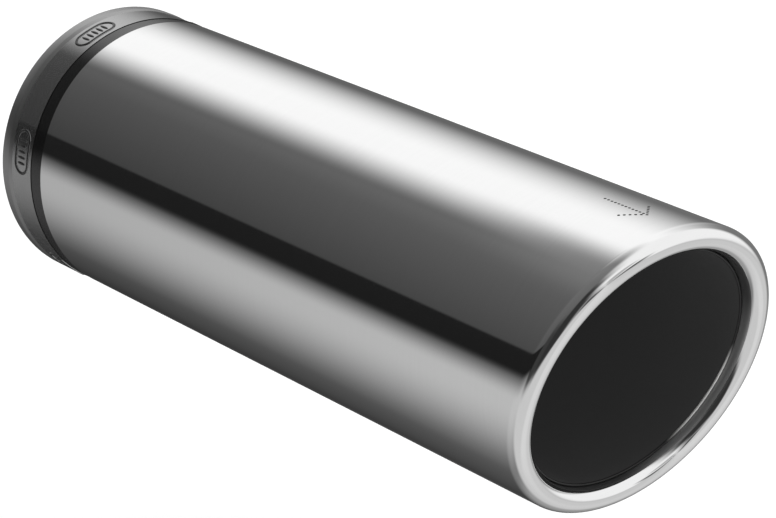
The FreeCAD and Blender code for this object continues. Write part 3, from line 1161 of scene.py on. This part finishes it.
@dataclass
class InletPipe(Assembly):
    """The plain sleeve that the tail pipe slides into, and its weld run.

    Attributes:
        bore: inside radius.
        sheet: thickness of the pipe.
        length: length of the pipe.
        leg: leg of the weld.
        run_share: share of the leg at which the run's middle stands off.
        ripple_share: share of the leg that is a ripple's radius.
        ripples: ripples round the weld run.
    """

    places: ClassVar = (("inlet_steel", "inlet_pipe"), ("weld_metal", "inlet_weld"))
    bore: float = 30.25 * MM
    sheet: float = 1.5 * MM
    length: float = 55.0 * MM
    leg: float = 3.0 * MM
    run_share: float = 0.30
    ripple_share: float = 0.52
    ripples: int = 168

    def build(self) -> list[Object]:
        """Turn the pipe, with its cut ends broken lightly, and lay the weld run.

        Returns:
            The pipe and the weld run.
        """
        outside = self.bore + self.sheet
        profile = Profile(MILL_TUBE, [
            Corner(0.0, self.bore, 0.25 * MM),
            Corner(self.length, self.bore, 0.2 * MM, SHEARED_EDGE),
            Corner(self.length, outside, 0.2 * MM),
            Corner(0.0, outside, 0.25 * MM, SHEARED_EDGE),
        ], bend_steps=3)
        return [profile.turned("inlet_pipe_mill"), self.build_weld(outside)]

    def build_weld(self, outside: float) -> Object:
        """Lay the weld run from overlapping ripples that follow the joint.

        Args:
            outside: outside radius of the pipe.

        Returns:
            The weld run.
        """
        joint = TIP.hem_rear + TIP.wall + EndCap.dish_depth
        shape = ShapeTree("inlet_weld_run", {
            "Run radius": outside + self.run_share * self.leg,
            "Run middle": (0.0, self.run_share * self.leg - joint, 0.0),
            "Ripples": self.ripples,
            "Ripple size": self.ripple_share * self.leg,
        })
        circle = shape.add("GeometryNodeCurvePrimitiveCircle", {
            "Resolution": "Ripples", "Radius": "Run radius",
        })
        ball = shape.add("GeometryNodeMeshUVSphere", {
            "Segments": 10, "Rings": 6, "Radius": "Ripple size",
        })
        laid = shape.add("GeometryNodeInstanceOnPoints", {"Points": circle, "Instance": ball})
        # the run is laid round Z and then stood up round the axis
        stood = shape.add("GeometryNodeTransform", {
            "Geometry": laid, "Translation": "Run middle", "Rotation": (0.5 * math.pi, 0.0, 0.0),
        })
        return shape.plain(shape.dress(stood, BEAD))


@dataclass
class InnerTube(Assembly):
    """The black inner tube, whose front edge shows a painted highlight inside the lip.

    Attributes:
        gap: room between the tube and the returned sheet.
        sheet: thickness of the tube.
        setback: front edge behind the lip plane.
        rear: rear edge, against the cap.
        steps: steps round the axis.
        rim_steps: spans of each half of the rounded rim.
    """

    places: ClassVar = (("inner_black", "inner_tube"),)
    gap: float = 0.1 * MM
    sheet: float = 1.0 * MM
    setback: float = 5.0 * MM
    rear: float = 20.7 * MM
    steps: int = 320
    rim_steps: int = 4

    def section(self, angle: float) -> Section:
        """Draw the section of the tube at one angle.

        Args:
            angle: angle round the axis, in radians.

        Returns:
            The section, from the rear edge over the rounded rim and back inside.
        """
        around, facing = outward(angle), TIP.facing
        outside, half = TIP.mouth - self.gap, 0.5 * self.sheet
        middle = TIP.on_slant(around, outside - half, self.setback + half)
        first, last = (middle + around * half).y, (middle - around * half).y
        outer = along_tube(around, outside, -self.rear, first, [0.0, 0.5, 1.0 - NEAR])
        rim = (
            rolled(middle, half, around, facing, self.rim_steps)
            + rolled(middle, half, facing, -around, self.rim_steps)[1:]
        )
        bore = along_tube(around, outside - self.sheet, last, -self.rear, [NEAR, 0.25, 0.6, 1.0])
        # the rim's spans carry the painted highlight
        polished_or_painted_highlight = len(rim) - 1
        finishes = [INNER_PAINT_AND_GLOW] * len(outer) + [RIM_PAINTED_HIGHLIGHT] * polished_or_painted_highlight
        return outer + rim + bore, finishes + [INNER_PAINT_AND_GLOW] * (len(bore) + 1)

    def build(self) -> list[Object]:
        """Join the sections of the tube all round."""
        return [closed_tube("inner_tube_painted", self.section, self.steps)]


@dataclass
class FlowArrow(Assembly):
    """A plain arrow of peened dots on the shell, which points to the mouth.

    It shows the way that the gas flows, and names nobody.

    Attributes:
        place: its middle, forward of the origin.
        angle: its middle round the axis, in degrees.
        length: from the end of its shaft to its point.
        shaft_dots: dots along the shaft, without the point.
        barb_across: reach of one side of the head round the tube.
        barb_back: reach of one side of the head back from the point.
        barb_dots: dots along one side of the head.
        dot: radius of a dot.
        dot_height: height of a dot, as a share of its radius.
    """

    places: ClassVar = (("polished_shell",),)
    place: float = 285.9 * MM
    angle: float = 6.0
    length: float = 18.0 * MM
    shaft_dots: int = 12
    barb_across: float = 6.2 * MM
    barb_back: float = 5.6 * MM
    barb_dots: int = 5
    dot: float = 0.5 * MM
    dot_height: float = 0.1

    def build(self) -> list[Object]:
        """Draw the three rows of dots flat, from the point back, and wrap them.

        Returns:
            The arrow.
        """
        point, shaft = -0.5 * self.length, self.length / self.shaft_dots
        back, across = self.barb_back / self.barb_dots, self.barb_across / self.barb_dots
        rows = {
            "Shaft": (self.shaft_dots + 1, (0.0, point, 0.0), (0.0, shaft, 0.0)),
            "Left barb": (self.barb_dots, (-across, point + back, 0.0), (-across, back, 0.0)),
            "Right barb": (self.barb_dots, (across, point + back, 0.0), (across, back, 0.0)),
        }
        shape = ShapeTree("flow_arrow", {
            "Radius": TIP.radius,
            "Turn": math.radians(self.angle),
            "Along": -self.place,
            "Dot radius": self.dot,
            "Dot shape": (1.0, 1.0, self.dot_height),
        } | {
            f"{row} {size}": value
            for row, values in rows.items()
            for size, value in zip(("dots", "start", "step"), values)
        })
        lines = [
            shape.add("GeometryNodeMeshLine", {
                "Count": f"{row} dots", "Start Location": f"{row} start", "Offset": f"{row} step",
            })
            for row in rows
        ]
        ball = shape.add("GeometryNodeMeshUVSphere", {
            "Segments": 10, "Rings": 5, "Radius": "Dot radius",
        })
        dotted = shape.add("GeometryNodeInstanceOnPoints", {
            "Points": shape.add("GeometryNodeJoinGeometry", {0: lines}),
            "Instance": ball, "Scale": "Dot shape",
        })
        flat = shape.add("GeometryNodeRealizeInstances", {0: dotted})
        # the dots' near-black colour is painted shade in the pits
        return [shape.plain(shape.dress(shape.wrap(flat), PIT_PAINTED_SHADE))]


# Studio


class Count(Enum):
    """How a board's angles round the axis are counted."""

    EITHER_WAY = "from -180 to 180 degrees"
    ONE_WAY = "from 0 to 360 degrees"


@dataclass(frozen=True)
class Board:
    """A light or dark board of the studio, as the polish mirrors it.

    A direction is given by its angle round the tube's axis, from +Z towards -X,
    and by how far ahead it points: from -0.8, well behind, to 1, straight ahead.

    Attributes:
        name: what it stands for in the studio.
        level: brightness seen in the polish.
        rise: angles between which it comes in.
        fall: angles between which it goes out.
        count: how its angles are counted.
        ahead: forward share at which it comes in.
        until: forward share at which it goes out.
        slant: degrees that its two edges shift by, further ahead.
        slant_over: forward share over which they shift.
    """

    name: str
    level: float
    rise: tuple[float, float]
    fall: tuple[float, float]
    count: Count = Count.EITHER_WAY
    ahead: tuple[float, float] | None = None
    until: tuple[float, float] | None = None
    slant: tuple[float, float] = (0.0, 0.0)
    slant_over: tuple[float, float] = (-0.1, 0.3)


@dataclass
class Studio:
    """Floor, light and camera.

    The polish mirrors the studio all round the tube, so its boards are given
    one by one, later ones in front of earlier ones: a soft box overhead, a grey
    wall with its black edge, a low reflector, and white boards ahead.

    Attributes:
        floor_drop: floor below the axis.
        floor_reach: half of the floor's width.
        polish: share of the light that the polish gives back.
        wall_greys: angle round the axis and brightness of the grey wall there.
        wall_ahead: forward shares between which the wall gets nearer.
        wall_gain: how much brighter the wall is at each of them.
        boards: the boards, from the back to the front.
        camera_place: where the camera stands.
        camera_right: the camera's way to the right.
        camera_up: the camera's way up.
        focal_pixels: focal length in pixels of the photograph.
        frame_width: width of the photograph, in pixels.
        sensor: width of the camera's sensor, in mm.
        sight: nearest and furthest distance that the camera sees.
    """

    floor_drop: float = 150.0 * MM
    floor_reach: float = 6.0
    polish: float = 0.765
    wall_greys: tuple[tuple[float, float], ...] = (
        (0.0, 0.118), (22.0, 0.118), (34.0, 0.094), (50.0, 0.080), (84.0, 0.054),
        (104.0, 0.054), (180.0, 0.085), (196.0, 0.062), (222.0, 0.032), (262.0, 0.106),
    )
    wall_ahead: tuple[float, float] = (-0.83, -0.50)
    wall_gain: tuple[float, float] = (0.78, 1.58)
    boards: tuple[Board, ...] = (
        Board("white board behind, high", 0.85, (-84.0, -40.0), (36.0, 80.0),
              until=(-0.97, -0.86)),
        Board("white board behind, low", 0.70, (96.0, 140.0), (214.0, 262.0), Count.ONE_WAY,
              until=(-0.97, -0.86)),
        Board("overhead soft box", 0.93, (-88.0, -29.0), (-14.0, 19.0),
              slant=(14.0, 0.0), slant_over=(-0.65, -0.25)),
        Board("low reflector", 0.505, (100.0, 121.0), (126.0, 190.0), Count.ONE_WAY,
              ahead=(-1.25, -0.58), slant=(14.0, 0.0)),
        Board("end of the wall by the mouth", 0.19, (-18.0, 14.0), (4.0, 44.0),
              ahead=(-0.715, -0.672), until=(-0.64, -0.56)),
        Board("floor ahead", 0.31, (168.0, 200.0), (240.0, 262.0), Count.ONE_WAY,
              ahead=(-0.68, -0.05)),
        Board("black edge of the wall", 0.0115, (83.2, 85.6), (99.0, 105.5),
              until=(0.0, 0.3), slant=(0.0, 12.0)),
        Board("grey edge of the wall ahead", 0.040, (60.0, 84.0), (100.0, 114.0),
              ahead=(-0.05, 0.2), until=(0.80, 0.95), slant=(0.0, 8.0)),
        Board("white board ahead, far side", 0.86, (-112.0, -98.0), (-26.0, 18.0),
              ahead=(0.0, 0.26), slant=(0.0, 28.0), slant_over=(0.15, 0.60)),
        Board("grey board ahead, low", 0.56, (114.0, 138.0), (244.0, 272.0), Count.ONE_WAY,
              ahead=(-0.06, 0.20)),
        Board("lighter part of the low board", 0.65, (182.0, 200.0), (220.0, 234.0),
              Count.ONE_WAY, ahead=(0.20, 0.50)),
        Board("dark corner of the wall", 0.028, (30.0, 52.0), (112.0, 136.0),
              ahead=(0.38, 0.56), until=(0.80, 0.95)),
        Board("white board ahead, middle", 0.84, (-30.0, 0.0), (34.0, 66.0),
              ahead=(0.72, 0.92)),
        Board("grey board ahead, near side", 0.55, (30.0, 70.0), (124.0, 146.0),
              ahead=(0.86, 0.99)),
        Board("grey wall far ahead", 0.42, (-50.0, -25.0), (25.0, 50.0),
              ahead=(0.93, 0.96)),
        Board("gap ahead, near side", 0.07, (52.0, 74.0), (92.0, 118.0),
              ahead=(0.90, 0.96)),
        Board("gap ahead, far side", 0.07, (-116.0, -94.0), (-78.0, -54.0),
              ahead=(0.90, 0.96)),
    )
    camera_place: tuple[float, float, float] = (-0.6071, -0.87187, 0.2809)
    camera_right: tuple[float, float, float] = (0.76867, -0.63318, 0.09071)
    camera_up: tuple[float, float, float] = (0.11864, 0.28049, 0.9525)
    focal_pixels: float = 2923.7
    frame_width: int = 776
    sensor: float = 36.0
    sight: tuple[float, float] = (0.01, 50.0)

    def build(self) -> None:
        """Set up floor, light and camera."""
        self.build_floor()
        self.build_light()
        self.build_camera()

    def build_floor(self) -> None:
        """Lay the pale floor below the tip, which its mount would hold up."""
        size, low = self.floor_reach, -self.floor_drop
        mesh = bpy.data.meshes.new("studio_floor")
        mesh.from_pydata(
            [(-size, -size, low), (size, -size, low), (size, size, low), (-size, size, low)],
            [], [(0, 1, 2, 3)],
        )
        mesh.materials.append(PAPER.material())
        floor = set_out("studio_floor", mesh)
        floor.visible_glossy = False

    def build_light(self) -> None:
        """Build the soft light all round, and the boards that the polish mirrors."""
        world = bpy.data.worlds.new("studio_light")
        bpy.context.scene.world = world
        world.use_nodes = True
        tree = world.node_tree
        tree.nodes.clear()
        way = add_node(tree, "ShaderNodeSeparateXYZ", {
            0: add_node(tree, "ShaderNodeTexCoord").outputs["Generated"],
        })
        forward, aside = (
            add_node(tree, "ShaderNodeMath", {0: way.outputs[axis], 1: -1.0}, operation="MULTIPLY")
            for axis in "YX"
        )
        turn = add_node(tree, "ShaderNodeMath", {
            0: aside, 1: way.outputs["Z"],
        }, operation="ARCTAN2")
        degrees = add_node(tree, "ShaderNodeMath", {0: turn}, operation="DEGREES")
        one_way = add_node(tree, "ShaderNodeMath", {
            0: degrees, 1: 360.0,
        }, operation="FLOORED_MODULO")
        light = self.stand_wall(tree, one_way, forward)
        for board in self.boards:
            angle = one_way if board.count is Count.ONE_WAY else degrees
            light = self.stand_board(tree, board, angle, forward, light)
        level = add_node(tree, "ShaderNodeMath", {0: light, 1: self.polish}, operation="DIVIDE")
        mixed = add_node(tree, "ShaderNodeMixShader", {
            0: add_node(tree, "ShaderNodeLightPath").outputs["Is Glossy Ray"],
            1: add_node(tree, "ShaderNodeBackground", {"Color": WHITE}),
            2: add_node(tree, "ShaderNodeBackground", {"Color": level}),
        })
        add_node(tree, "ShaderNodeOutputWorld", {"Surface": mixed})

    def stand_wall(self, tree: NodeTree, angle: Node, forward: Node) -> Node:
        """Stand the grey wall all round, lighter further ahead.

        Args:
            tree: node tree of the world.
            angle: gives the angle round the axis, in degrees from 0 to 360.
            forward: gives how far ahead a direction points.

        Returns:
            The node that gives the wall's light.
        """
        wall = add_node(tree, "ShaderNodeValToRGB", {
            "Fac": add_node(tree, "ShaderNodeMath", {0: angle, 1: 360.0}, operation="DIVIDE"),
        })
        ramp = wall.color_ramp
        while len(ramp.elements) < len(self.wall_greys):
            ramp.elements.new(0.5)
        for element, (place, grey) in zip(ramp.elements, self.wall_greys):
            element.position = place / 360.0
            element.color = (grey, grey, grey, 1.0)
        nearer = add_node(tree, "ShaderNodeMapRange", {
            "Value": forward, "From Min": self.wall_ahead[0], "From Max": self.wall_ahead[1],
            "To Min": self.wall_gain[0], "To Max": self.wall_gain[1],
        })
        return add_node(tree, "ShaderNodeMath", {0: wall, 1: nearer}, operation="MULTIPLY")

    def stand_board(
        self, tree: NodeTree, board: Board, angle: Node, forward: Node, light: Node
    ) -> Node:
        """Stand one board, with soft edges, in front of what stands already.

        Args:
            tree: node tree of the world.
            board: the board.
            angle: gives the angle round the axis, as the board counts it.
            forward: gives how far ahead a direction points.
            light: gives the light of what stands already.

        Returns:
            The node that gives the light with this board.
        """
        shift = add_node(tree, "ShaderNodeMapRange", {
            "Value": forward, "From Min": board.slant_over[0], "From Max": board.slant_over[1],
        }, interpolation_type="SMOOTHSTEP")
        near, far = (
            add_node(tree, "ShaderNodeMath", {
                0: shift, 1: -slant, 2: angle,
            }, operation="MULTIPLY_ADD")
            for slant in board.slant
        )
        # an edge from more to less lets the board go out instead of coming in
        edges = [(near, board.rise), (far, board.fall[::-1])]
        if board.ahead:
            edges.append((forward, board.ahead))
        if board.until:
            edges.append((forward, board.until[::-1]))
        share: Any = 1.0
        for value, (start, end) in edges:
            edge = add_node(tree, "ShaderNodeMapRange", {
                "Value": value, "From Min": start, "From Max": end,
            }, interpolation_type="SMOOTHSTEP")
            share = add_node(tree, "ShaderNodeMath", {0: share, 1: edge}, operation="MULTIPLY")
        return add_node(tree, "ShaderNodeMix", {"Factor": share, "A": light, "B": board.level})

    def build_camera(self) -> None:
        """Stand the camera where the photograph was taken from."""
        lens = bpy.data.cameras.new("photo_camera")
        lens.sensor_width = self.sensor
        lens.lens = lens.sensor_width * self.focal_pixels / self.frame_width
        lens.clip_start, lens.clip_end = self.sight
        camera = set_out("photo_camera", lens)
        right, up = Vector(self.camera_right), Vector(self.camera_up)
        turn = Matrix((right, up, right.cross(up))).transposed()
        camera.matrix_world = Matrix.Translation(Vector(self.camera_place)) @ turn.to_4x4()
        bpy.context.scene.camera = camera
        bpy.context.scene.view_settings.view_transform = "Standard"


def main() -> None:
    """Build every sub-assembly and the studio."""
    logging.basicConfig(level=logging.INFO, format="%(name)s: %(message)s")
    assemblies = (
        OuterShell(), JointBand(), EndCollar(), EndCap(), InletPipe(), InnerTube(), FlowArrow(),
    )
    for assembly in assemblies:
        LOG.info("building %s", type(assembly).__name__)
        assembly.dress(assembly.build())
    Studio().build()


if __name__ == "__main__":
    main()
